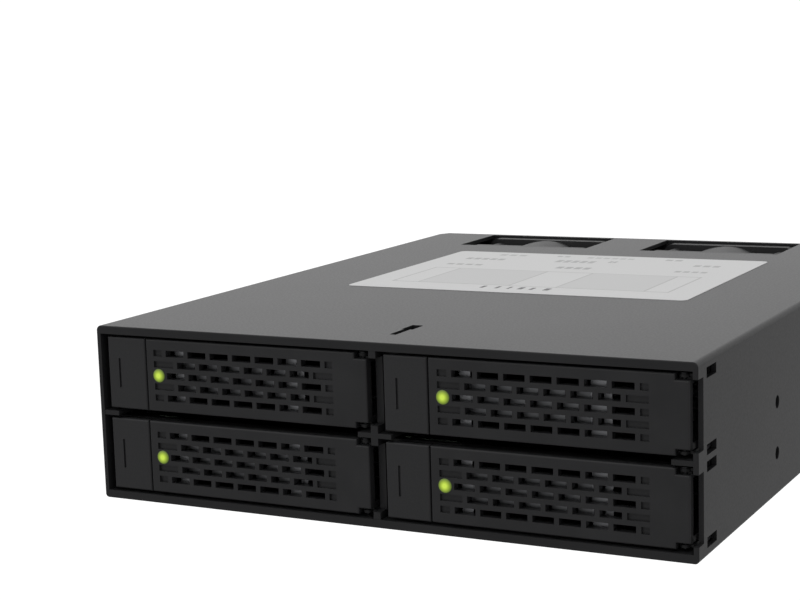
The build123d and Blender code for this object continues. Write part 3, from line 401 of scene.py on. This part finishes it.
def makePiece(name, body, slotName, grids, material=None, replaced=(), smooth=True, bevel=None):
    # Each grid is rows x columns x 3 in millimetres, closed round its columns, with both end rows capped
    points, faces, start = [], [], 0
    for grid in grids:
        rows, columns = grid.shape[:2]
        points.append(grid.reshape(-1, 3))
        faces += gridFaces(rows, columns, start)
        faces.append(list(range(start + columns - 1, start - 1, -1)))
        faces.append(list(range(start + (rows - 1) * columns, start + rows * columns)))
        start += rows * columns
    mesh = bpy.data.meshes.new(name)
    mesh.from_pydata((np.concatenate(points) * mm).tolist(), [], faces)
    shape = bmesh.new()
    shape.from_mesh(mesh)
    bmesh.ops.recalc_face_normals(shape, faces=shape.faces)
    shape.to_mesh(mesh)
    shape.free()
    if smooth:
        mesh.shade_smooth()
    else:
        mesh.shade_flat()
    piece = bpy.data.objects.new(name, mesh)
    bpy.context.scene.collection.objects.link(piece)
    mesh.materials.append(material or materials[slotName])
    if bevel:
        edge = piece.modifiers.new("edge", "BEVEL")
        edge.width, edge.segments, edge.limit_method = bevel * mm, 2, "ANGLE"
    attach(piece, body)
    if replaced:
        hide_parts(*replaced)
    return piece


def setAttribute(piece, name, kind, values):
    attribute = piece.data.attributes.new(name, kind, "POINT")
    attribute.data.foreach_set("value" if kind == "FLOAT" else "color", np.ravel(values))


def roundedOutline(x0, x1, y0, y1, corner, steps):
    # four quarter circles about the corners' centres, joined by straight sides
    turn = np.linspace(0, np.pi / 2, steps)
    centres = np.array([(x1 - corner, y1 - corner), (x0 + corner, y1 - corner),
                        (x0 + corner, y0 + corner), (x1 - corner, y0 + corner)])
    angles = turn[None, :] + np.arange(4)[:, None] * np.pi / 2
    arcs = centres[:, None, :] + corner * np.stack([np.cos(angles), np.sin(angles)], axis=-1)
    return arcs.reshape(-1, 2)


def boxGrid(low, high, corner=0.25, steps=4):
    # a block with rounded upright edges: one rounded outline at the foot and at the top
    outline = roundedOutline(low[0], high[0], low[1], high[1], corner, steps)
    return np.stack([np.column_stack([outline, np.full(len(outline), z)]) for z in (low[2], high[2])])


def revolve(x, z, depth, radius, steps=72):
    # a profile of depths and radii turned about a line along Y
    around = np.linspace(0, 2 * np.pi, steps, endpoint=False)
    depth, radius = np.asarray(depth, float), np.asarray(radius, float)
    return np.stack([
        x + radius[:, None] * np.cos(around), np.repeat(depth[:, None], steps, axis=1),
        z + radius[:, None] * np.sin(around),
    ], axis=-1)


# Rating label


label = {"corner": 1.75, "thickness": 0.1, "edgeRound": 0.03, "cornerSteps": 9}


def makeLabel():
    # a thin sheet with round corners, its outline drawn in a little at the upper edge
    low, high = nodeBox("rating_label")
    outline = roundedOutline(low[0], high[0], low[1], high[1], label["corner"], label["cornerSteps"])
    middle = (low[:2] + high[:2]) / 2
    top = low[2] + label["thickness"]
    levels = ((0, low[2]), (0, top - label["edgeRound"]), (label["edgeRound"], top))
    rows = []
    for inset, z in levels:
        flat = middle + (outline - middle) * (1 - inset / np.abs(high[:2] - middle))
        rows.append(np.column_stack([flat, np.full(len(flat), z)]))
    makePiece("ratingLabel", "cage", "label", [np.stack(rows)], replaced=["rating_label"], smooth=False)


labelPrint = {  # places are from the front left corner of the printed area
    "span": 93.8, "thickness": 0.01, "corner": 0.05, "rule": 0.45, "ruleInk": 0.34,
    "table": (9.0, 85.8, 10.6, 37.0), "columns": (16.5, 42.5, 55.5, 79.0), "panels": (0, 2), "panelInk": 0.13,
    "blocks": (  # start, width, level and height of each run of small blocks, with its ink
        (16.0, 9.0, 64.5, 2.4, 0.34), (33.5, 4.5, 65.5, 2.0, 0.39), (43.0, 14.5, 64.8, 2.2, 0.31),
        (66.0, 5.5, 65.2, 2.4, 0.39), (9.5, 12.5, 55.0, 3.0, 0.42), (37.0, 12.0, 55.2, 4.2, 0.39),
        (52.0, 2.6, 57.5, 3.0, 0.42), (77.0, 8.0, 56.0, 2.8, 0.39), (9.0, 11.5, 43.6, 2.2, 0.44),
        (42.0, 10.5, 43.5, 3.4, 0.44), (75.5, 9.5, 44.6, 2.4, 0.39),
    ),
    "blockPitch": 2.6, "blockShare": 0.7,
    "marks": ((36.8, 1.0), (40.9, 0.9), (44.3, 0.7), (47.2, 1.3), (50.4, 1.0), (54.2, 1.5)),
    "markLevel": 5.6, "markHeight": 3.4, "markInk": 0.85,  # the marks have a start and a width each
}


def makeLabelPrint():
    # flat grey blocks and rules in the places of the label's printing, with no letter in them
    low, high = nodeBox("rating_label")
    bottom, top = high[2], high[2] + labelPrint["thickness"]
    start = high[0] - labelPrint["span"]
    left, right, front, back = labelPrint["table"]
    rule, ruleInk, share = labelPrint["rule"], labelPrint["ruleInk"], labelPrint["blockShare"]
    areas = [(left, right, level, level + rule, ruleInk) for level in (front, back)]
    for x in (left, *labelPrint["columns"], right - rule):
        areas.append((x, x + rule, front + rule, back, ruleInk))
    for k in labelPrint["panels"]:
        x0, x1 = labelPrint["columns"][k] + rule, labelPrint["columns"][k + 1]
        areas.append((x0, x1, front + rule, back, labelPrint["panelInk"]))
    for x, width, level, height, ink in labelPrint["blocks"]:
        count = max(2, round(width / labelPrint["blockPitch"]))
        step = width / count
        areas += [(x + k * step, x + (k + share) * step, level, level + height, ink) for k in range(count)]
    level = labelPrint["markLevel"]
    for x, width in labelPrint["marks"]:
        areas.append((x, x + width, level, level + labelPrint["markHeight"], labelPrint["markInk"]))
    grids = []
    for x0, x1, y0, y1, _ in areas:
        near, far = (start + x0, low[1] + y0, bottom), (start + x1, low[1] + y1, top)
        grids.append(boxGrid(near, far, labelPrint["corner"], steps=2))
    piece = makePiece("labelPrint", "cage", "label", grids, material=labelInk, smooth=False)
    pointsEach = grids[0][..., 0].size
    setAttribute(piece, "ink", "FLOAT", np.repeat([ink for *_, ink in areas], pointsEach))


makeLabel()
makeLabelPrint()
print("label made")


# Status lights


lens = {"radius": 1.6, "stem": 1.45, "rise": 0.3, "edge": 0.03, "climb": 0.97, "rings": 12, "around": 40}


def makeLens(bay):
    # a dome: the radius falls as the cosine and the height rises as the sine of one angle
    low, high = nodeBox(f"status_lens_{bay}")
    x, z = (low[0] + high[0]) / 2, (low[2] + high[2]) / 2
    faceY = nodeBox(f"door_lever_{bay}")[0][1]
    climb = np.linspace(0, np.pi / 2 * lens["climb"], lens["rings"])
    stem = [(high[1], lens["stem"]), (faceY, lens["stem"]), (faceY, lens["radius"] - lens["edge"])]
    depth = np.concatenate([[y for y, _ in stem], faceY - lens["edge"] - lens["rise"] * np.sin(climb)])
    radius = np.concatenate([[r for _, r in stem], lens["radius"] * np.cos(climb)])
    grid = revolve(x, z, depth, radius, lens["around"])
    piece = makePiece(f"statusLens_{bay}", f"door_{bay}", "lit_lens", [grid], replaced=[f"status_lens_{bay}"])
    shine = np.clip(1 - radius / lens["radius"], 0, 1)
    shine[:len(stem)] = 0
    setAttribute(piece, "glow", "FLOAT", np.repeat(shine, lens["around"]))


for bay in bays:
    makeLens(bay)
print("status lights made")


# Latch springs


spring = {"leaf": 0.2, "bend": 4.5, "rows": 14, "keep": 0.55}


def makeSpring(bay):
    # a leaf bent to one radius: it touches the latch with its left end and stands on the lever's seat
    node = f"latch_spring_{bay}"
    low, high = nodeBox(node)
    inner = spring["bend"] - spring["leaf"]
    middleY = low[1] + spring["bend"]
    turn = np.linspace(0, np.arccos((middleY - high[1]) / inner), spring["rows"])[:, None]
    radius = np.array([spring["bend"], spring["bend"], inner, inner])
    level = np.tile([low[2], high[2], high[2], low[2]], (spring["rows"], 1))
    grid = np.stack([low[0] + radius * np.sin(turn), middleY - radius * np.cos(turn), level], axis=-1)
    piece = makePiece(f"latchSpring_{bay}", f"door_{bay}", "pin_steel", [grid], replaced=[node], smooth=False)
    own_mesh(piece)


for bay in bays:
    makeSpring(bay)
print("latch springs made")


# Fan rotors


rotor = {
    "frameWall": 1.1, "hubShare": 0.6, "setBack": 2.4, "wall": 1.0, "pole": 0.02,
    "dimple": 3.2, "dimpleEdge": 0.3, "dimpleDepth": 0.25, "faceInset": 1.2, "hubRound": 0.9, "roundSteps": 6,
    "rim": (0.25, 0.2), "shaft": 1.0, "bossFoot": 1.6, "bossTop": 0.9, "bossDepth": 3.0,
    "blades": 7, "rootSunk": 0.6, "tipGap": 0.7, "chordRoot": 11.5, "chordTip": 15.0, "pitchRoot": 52.0,
    "pitchTip": 30.0, "sweep": 14.0, "sweepPower": 1.5, "thickness": 1.1, "camber": 0.09, "nose": 0.35,
    "taper": 0.35, "taperFrom": 0.8, "taperPower": 1.5, "taperFull": 0.09,  # how the chord is cut at the tip
    "rows": 12, "points": 28,
}


def bladeGrid(x, z, middleY, hubRadius, tipRadius, start):
    # Rows run from hub to tip. Each row is a wing section wrapped round its own cylinder: its chord is turned
    # by the pitch, which falls towards the tip, swept forward on the way, and cut back near the tip
    out = np.linspace(0, 1, rotor["rows"])[:, None]
    loop = np.linspace(0, 2 * np.pi, rotor["points"], endpoint=False)[None, :]
    rootRadius = hubRadius - rotor["rootSunk"]
    radius = rootRadius + (tipRadius - rootRadius) * out
    chord = rotor["chordRoot"] + (rotor["chordTip"] - rotor["chordRoot"]) * out
    cut = np.clip(out - rotor["taperFrom"], 0, 1) ** rotor["taperPower"] / rotor["taperFull"]
    chord *= 1 - rotor["taper"] * cut
    pitch = np.radians(rotor["pitchRoot"] + (rotor["pitchTip"] - rotor["pitchRoot"]) * out)
    along = -np.cos(loop) / 2
    across = np.sin(loop) * (1 - rotor["nose"] * np.cos(loop)) * rotor["thickness"] / 2
    across = across + chord * rotor["camber"] * (1 - 4 * along**2)
    tangent = chord * along * np.cos(pitch) - across * np.sin(pitch)
    axial = chord * along * np.sin(pitch) + across * np.cos(pitch)
    angle = start + tangent / radius + np.radians(rotor["sweep"]) * out ** rotor["sweepPower"]
    return np.stack([x + radius * np.cos(angle), middleY + axial, z + radius * np.sin(angle)], axis=-1)


def makeRotor(side):
    # the hub is one profile turned about the shaft: rear face, rounded edge, front rim, inside and boss
    low, high = nodeBox(f"fan_rotor_{side}")
    x, z = (low[0] + high[0]) / 2, (low[2] + high[2]) / 2
    frameLow, frameHigh = nodeBox(f"fan_frame_{side}")
    bore = (frameHigh[0] - frameLow[0]) / 2 - rotor["frameWall"]
    hub = rotor["hubShare"] * bore
    front, back = frameLow[1] + rotor["setBack"], high[1]
    dimpleBack, roundOff = back - rotor["dimpleDepth"], rotor["hubRound"]
    inside, bossBack = back - rotor["wall"], back - rotor["bossDepth"]
    pole, shaft, inner = rotor["pole"], rotor["shaft"], hub - rotor["wall"]
    rimInset, rimDepth = rotor["rim"]
    profile = [
        (pole, dimpleBack), (rotor["dimple"], dimpleBack), (rotor["dimple"] + rotor["dimpleEdge"], back),
        (hub - rotor["faceInset"], back),
    ]
    for angle in np.linspace(0, np.pi / 2, rotor["roundSteps"]):
        outward, backward = np.sin(angle), np.cos(angle)
        profile.append((hub - roundOff + roundOff * outward, back - roundOff + roundOff * backward))
    profile += [
        (hub, front + rimDepth), (hub - rimInset, front), (inner, front), (inner, inside),
        (shaft + rotor["bossFoot"], inside), (shaft + rotor["bossTop"], bossBack), (shaft, bossBack),
        (shaft, low[1]), (pole, low[1]),
    ]
    radius, depth = zip(*profile)
    grids = [revolve(x, z, depth, radius)]
    for k in range(rotor["blades"]):
        start = 2 * np.pi * k / rotor["blades"]
        grids.append(bladeGrid(x, z, (front + back) / 2, hub, bore - rotor["tipGap"], start))
    body = f"fan_rotor_{side}"
    makePiece(f"fanRotor_{side}", body, "rotor_plastic", grids, replaced=[body])


for side in sides:
    makeRotor(side)
print("fan rotors made")


# Fan leads


leads = {
    "sleeve": 0.48, "pitch": 1.0, "colours": ("17171a", "b32218", "d9b21f"), "inset": 2.2, "rise": 8.0,
    "route": ((0.9, 0.3, 0.0), (1.0, -3.4, 0.2), (1.0, -1.2, 0.3), (1.0, -0.6, 0.0)),  # spread, depth, height
    "plugGap": 4.5, "plugHalf": 3.0, "plugLength": 4.0, "plugHeight": 3.4, "plugColour": "e4e0d4",
    "ribHalf": 1.2, "ribInset": (0.6, 0.4), "ribHeight": 0.4, "plugEdge": 0.12,
}


def tubeGrid(path, radius, around=12):
    # a circle carried along the path, square to it and kept level with the X axis
    ahead = np.gradient(path, axis=0)
    ahead /= np.linalg.norm(ahead, axis=1)[:, None]
    side = np.tile([1.0, 0, 0], (len(path), 1))
    up = np.cross(side, ahead)
    turn = np.linspace(0, 2 * np.pi, around, endpoint=False)
    ring = side[:, None, :] * np.cos(turn)[None, :, None] + up[:, None, :] * np.sin(turn)[None, :, None]
    return path[:, None, :] + radius * ring


def smoothPath(points, steps=36):
    # one Bezier curve of the four points
    t = np.linspace(0, 1, steps)[:, None]
    a, b, c, d = (np.array(p, float) for p in points)
    return (1 - t) ** 3 * a + 3 * t * (1 - t) ** 2 * b + 3 * t**2 * (1 - t) * c + t**3 * d


def makeLeads():
    # three wires side by side from each fan's frame to its plug on the rear board, and the plug with its rib
    boardTop = nodeBox("rear_board")[1][2]
    grids, colours = [], []
    for side in sides:
        low, high = nodeBox(f"fan_frame_{side}")
        x, front = high[0] - leads["inset"], low[1]
        level = (low[2] + high[2]) / 2 + leads["rise"]
        plugEnd, plugTop = front - leads["plugGap"], boardTop + leads["plugHeight"]
        plugZ = boardTop + leads["plugHeight"] / 2
        starts = ((front, level), (front, level), (front, plugZ), (plugEnd, plugZ))
        for k, code in enumerate(leads["colours"]):
            offset = (k - 1) * leads["pitch"]
            path = smoothPath([
                (x + offset * spread, y + depth, z + height)
                for (spread, depth, height), (y, z) in zip(leads["route"], starts)
            ])
            grids.append(tubeGrid(path, leads["sleeve"]))
            colours.append(code)
        plugFront, half, ribHalf = plugEnd - leads["plugLength"], leads["plugHalf"], leads["ribHalf"]
        ribFront, ribBack = plugFront + leads["ribInset"][0], plugEnd - leads["ribInset"][1]
        grids.append(boxGrid((x - half, plugFront, boardTop), (x + half, plugEnd, plugTop)))
        grids.append(boxGrid((x - ribHalf, ribFront, plugTop),
                             (x + ribHalf, ribBack, plugTop + leads["ribHeight"])))
        colours += [leads["plugColour"]] * 2
    piece = makePiece("fanLeads", "cage", "lead", grids, replaced=["fan_leads"], bevel=leads["plugEdge"])
    tints = [np.tile(linearColour(code), (grid[..., 0].size, 1)) for code, grid in zip(colours, grids)]
    setAttribute(piece, "sleeve", "FLOAT_COLOR", np.concatenate(tints))


makeLeads()
print("fan leads made")


# Contacts


contacts = {
    "portFingers": {"data_port_1": 7, "data_port_2": 7, "data_port_3": 7, "data_port_4": 7, "power_port": 15},
    "portPitch": 1.143, "portWidth": 0.62, "portThick": 0.1, "portTongue": 1.15, "portEnds": (5.9, 0.9),
    "portShift": 0.3, "socketRows": ((8.75, 7), (22.0, 15)), "socketPitch": 0.97, "socketWidth": 0.5,
    "socketThick": 0.2, "socketFloor": 0.7, "socketEnds": (0.4, 4.2), "headerCount": 20, "headerPitch": 2.5,
    "headerPin": 0.3, "headerTop": 0.5, "headerFoot": 2.4, "fingerCorner": 0.08, "pinCorner": 0.1,
}


def fingers(centre, count, pitch, width, ends, bottom, thick):
    # a row of flat contacts side by side along X
    grids = []
    for k in range(count):
        x = centre + (k - (count - 1) / 2) * pitch
        low, high = (x - width / 2, ends[0], bottom), (x + width / 2, ends[1], bottom + thick)
        grids.append(boxGrid(low, high, contacts["fingerCorner"], steps=2))
    return grids


def makeContacts():
    # fingers on the ports' tongues and in the drive sockets, and the pins of the header between the boards
    grids = []
    for node, count in contacts["portFingers"].items():
        low, high = nodeBox(node)
        ends = [high[1] - end for end in contacts["portEnds"]]
        bottom = (low[2] + high[2]) / 2 + contacts["portTongue"] / 2
        centre = (low[0] + high[0]) / 2 + contacts["portShift"]
        sizes = contacts["portPitch"], contacts["portWidth"]
        grids += fingers(centre, count, *sizes, ends, bottom, contacts["portThick"])
    for bay in bays:
        low, high = nodeBox(f"drive_socket_{bay}")
        ends = [low[1] + end for end in contacts["socketEnds"]]
        bottom = (low[2] + high[2]) / 2 - contacts["socketFloor"]
        sizes = contacts["socketPitch"], contacts["socketWidth"]
        for start, count in contacts["socketRows"]:
            grids += fingers(low[0] + start, count, *sizes, ends, bottom, contacts["socketThick"])
    low, high = nodeBox("board_header")
    middle, y, half = (low[0] + high[0]) / 2, (low[1] + high[1]) / 2, contacts["headerPin"]
    foot, top = high[2] - contacts["headerFoot"], high[2] - contacts["headerTop"]
    for k in range(contacts["headerCount"]):
        x = middle + (k - (contacts["headerCount"] - 1) / 2) * contacts["headerPitch"]
        pin = (x - half, y - half, foot), (x + half, y + half, top)
        grids.append(boxGrid(*pin, contacts["pinCorner"], steps=2))
    makePiece("goldContacts", "cage", "zinc", grids, material=contactGold, smooth=False)


makeContacts()
print("contacts made")


# Parts soldered to the boards


boardParts = {
    "chips": ((-30.0, 9.0, 9.0, 1.3), (18.0, 11.0, 11.0, 1.4), (44.0, 5.0, 6.2, 1.1)),  # x, sizes and height
    "chipFront": 14.0, "chipLift": 0.1, "chipEdge": 0.08,
    "rows": ((-38.0, 9), (3.0, 10), (32.0, 8)), "rowFront": 27.0, "rowPitch": 2.3,  # x and count of resistors
    "small": (1.6, 0.8, 0.5), "smallCorner": 0.1,
    "cans": ((-46.0, 2.5, 5.4), (-40.0, 2.5, 5.4), (56.0, 3.2, 7.0)),  # x, radius and height
    "canFront": 17.0, "canRound": 0.3, "canSteps": 40, "crimp": (0.8, 1.1, 1.4), "crimpDepth": 0.25,
}


def makeBoardParts():
    # packaged chips and rows of small resistors, then the round cans with their crimped foot
    low, high = nodeBox("rear_board")
    top, front = high[2], low[1]
    grids = []
    y = front + boardParts["chipFront"]
    for x, width, length, height in boardParts["chips"]:
        grids.append(boxGrid((x - width / 2, y - length / 2, top + boardParts["chipLift"]),
                             (x + width / 2, y + length / 2, top + height)))
    width, length, height = boardParts["small"]
    y = front + boardParts["rowFront"]
    for start, count in boardParts["rows"]:
        for k in range(count):
            x = start + k * boardParts["rowPitch"]
            far = (x + length, y + width, top + height)
            grids.append(boxGrid((x, y, top), far, boardParts["smallCorner"], steps=2))
    makePiece("boardChips", "cage", "connector_plastic", grids, smooth=False, bevel=boardParts["chipEdge"])
    grids = []
    turn = np.linspace(0, 2 * np.pi, boardParts["canSteps"], endpoint=False)
    y, edge = front + boardParts["canFront"], boardParts["canRound"]
    crimpLow, crimpMiddle, crimpHigh = boardParts["crimp"]
    for x, radius, height in boardParts["cans"]:
        profile = (
            (0, radius), (crimpLow, radius), (crimpMiddle, radius - boardParts["crimpDepth"]),
            (crimpHigh, radius), (height - edge, radius), (height, radius - edge),
        )
        grids.append(np.stack([
            np.column_stack([x + r * np.cos(turn), y + r * np.sin(turn), np.full(len(turn), top + z)])
            for z, r in profile
        ]))
    makePiece("boardCans", "cage", "zinc", grids)


makeBoardParts()
print("board parts made")


# Camera, floor and light


cameraSet = {
    "place": (182.4, -426.9, 109.5), "right": (0.88799, 0.45885, -0.03047),
    "down": (0.04370, -0.15017, -0.98769), "ahead": (-0.45778, 0.87573, -0.15340),
    "lens": 80.98, "sensor": 36.0, "nearest": 20.0,
}
stageSet = {
    "floorSize": 12.0, "drop": 0.2,  # metres across, and millimetres under the cage, so that no faces meet
    "seen": 1.1, "bounced": 0.5, "leftSide": 1.07, "rightSide": 0.68, "fall": (-0.5, 0.5),
    "light": 0.6, "lightSpread": 1.2, "lightTurn": (0.35, -0.25, 0),
}


def makeCamera():
    data = bpy.data.cameras.new("camera")
    data.lens, data.sensor_width = cameraSet["lens"], cameraSet["sensor"]
    data.clip_start = cameraSet["nearest"] * mm
    camera = bpy.data.objects.new("camera", data)
    right, down, ahead = (Vector(cameraSet[key]) for key in ("right", "down", "ahead"))
    turn = Matrix((right, -down, -ahead)).transposed().to_4x4()
    camera.matrix_world = Matrix.Translation(Vector(cameraSet["place"]) * mm) @ turn
    bpy.context.scene.collection.objects.link(camera)
    bpy.context.scene.camera = camera


def makeFloor():
    # back-lit white acrylic: the camera sees it burnt out, and the cage is lit by a softer share
    half, level = stageSet["floorSize"] / 2, -stageSet["drop"] * mm
    corners = [(-half, -half, level), (half, -half, level), (half, half, level), (-half, half, level)]
    mesh = bpy.data.meshes.new("floor")
    mesh.from_pydata(corners, [], [(0, 1, 2, 3)])
    floor = bpy.data.objects.new("floor", mesh)
    bpy.context.scene.collection.objects.link(floor)
    material, tree, _ = startMaterial("backLitAcrylic")
    seen = addNode(tree, "LightPath").outputs["Is Camera Ray"]
    values = {"To Min": stageSet["bounced"], "To Max": stageSet["seen"]}
    strength = addNode(tree, "MapRange", values, {"Value": seen}).outputs["Result"]
    glow = addNode(tree, "Emission", {"Color": "ffffff"}, {"Strength": strength})
    addNode(tree, "OutputMaterial", links={"Surface": glow.outputs["Emission"]})
    mesh.materials.append(material)


def makeLight():
    # the room's light falls off from left to right, by the direction that it comes from, under a soft sun
    world = bpy.data.worlds.new("studio")
    world.use_nodes = True
    tree = world.node_tree
    place = addNode(tree, "TexCoord").outputs["Generated"]
    direction = addNode(tree, "SeparateXYZ", links={"Vector": place}).outputs["X"]
    values = dict(zip(("From Min", "From Max"), stageSet["fall"]))
    values |= {"To Min": stageSet["leftSide"], "To Max": stageSet["rightSide"]}
    room = addNode(tree, "MapRange", values, {"Value": direction}).outputs["Result"]
    seen = addNode(tree, "LightPath").outputs["Is Camera Ray"]
    strength = addNode(tree, "MapRange", {"To Max": stageSet["seen"]}, {"Value": seen, "To Min": room})
    background = tree.nodes["Background"]
    background.inputs["Color"].default_value = linearColour("ffffff")
    tree.links.new(strength.outputs["Result"], background.inputs["Strength"])
    bpy.context.scene.world = world
    sun = bpy.data.lights.new("overhead", "SUN")
    sun.energy, sun.angle = stageSet["light"], stageSet["lightSpread"]
    lamp = bpy.data.objects.new("overhead", sun)
    lamp.rotation_euler = stageSet["lightTurn"]
    bpy.context.scene.collection.objects.link(lamp)
    bpy.context.scene.view_settings.view_transform = "Standard"


makeCamera()
makeFloor()
makeLight()
print("camera, floor and light set")
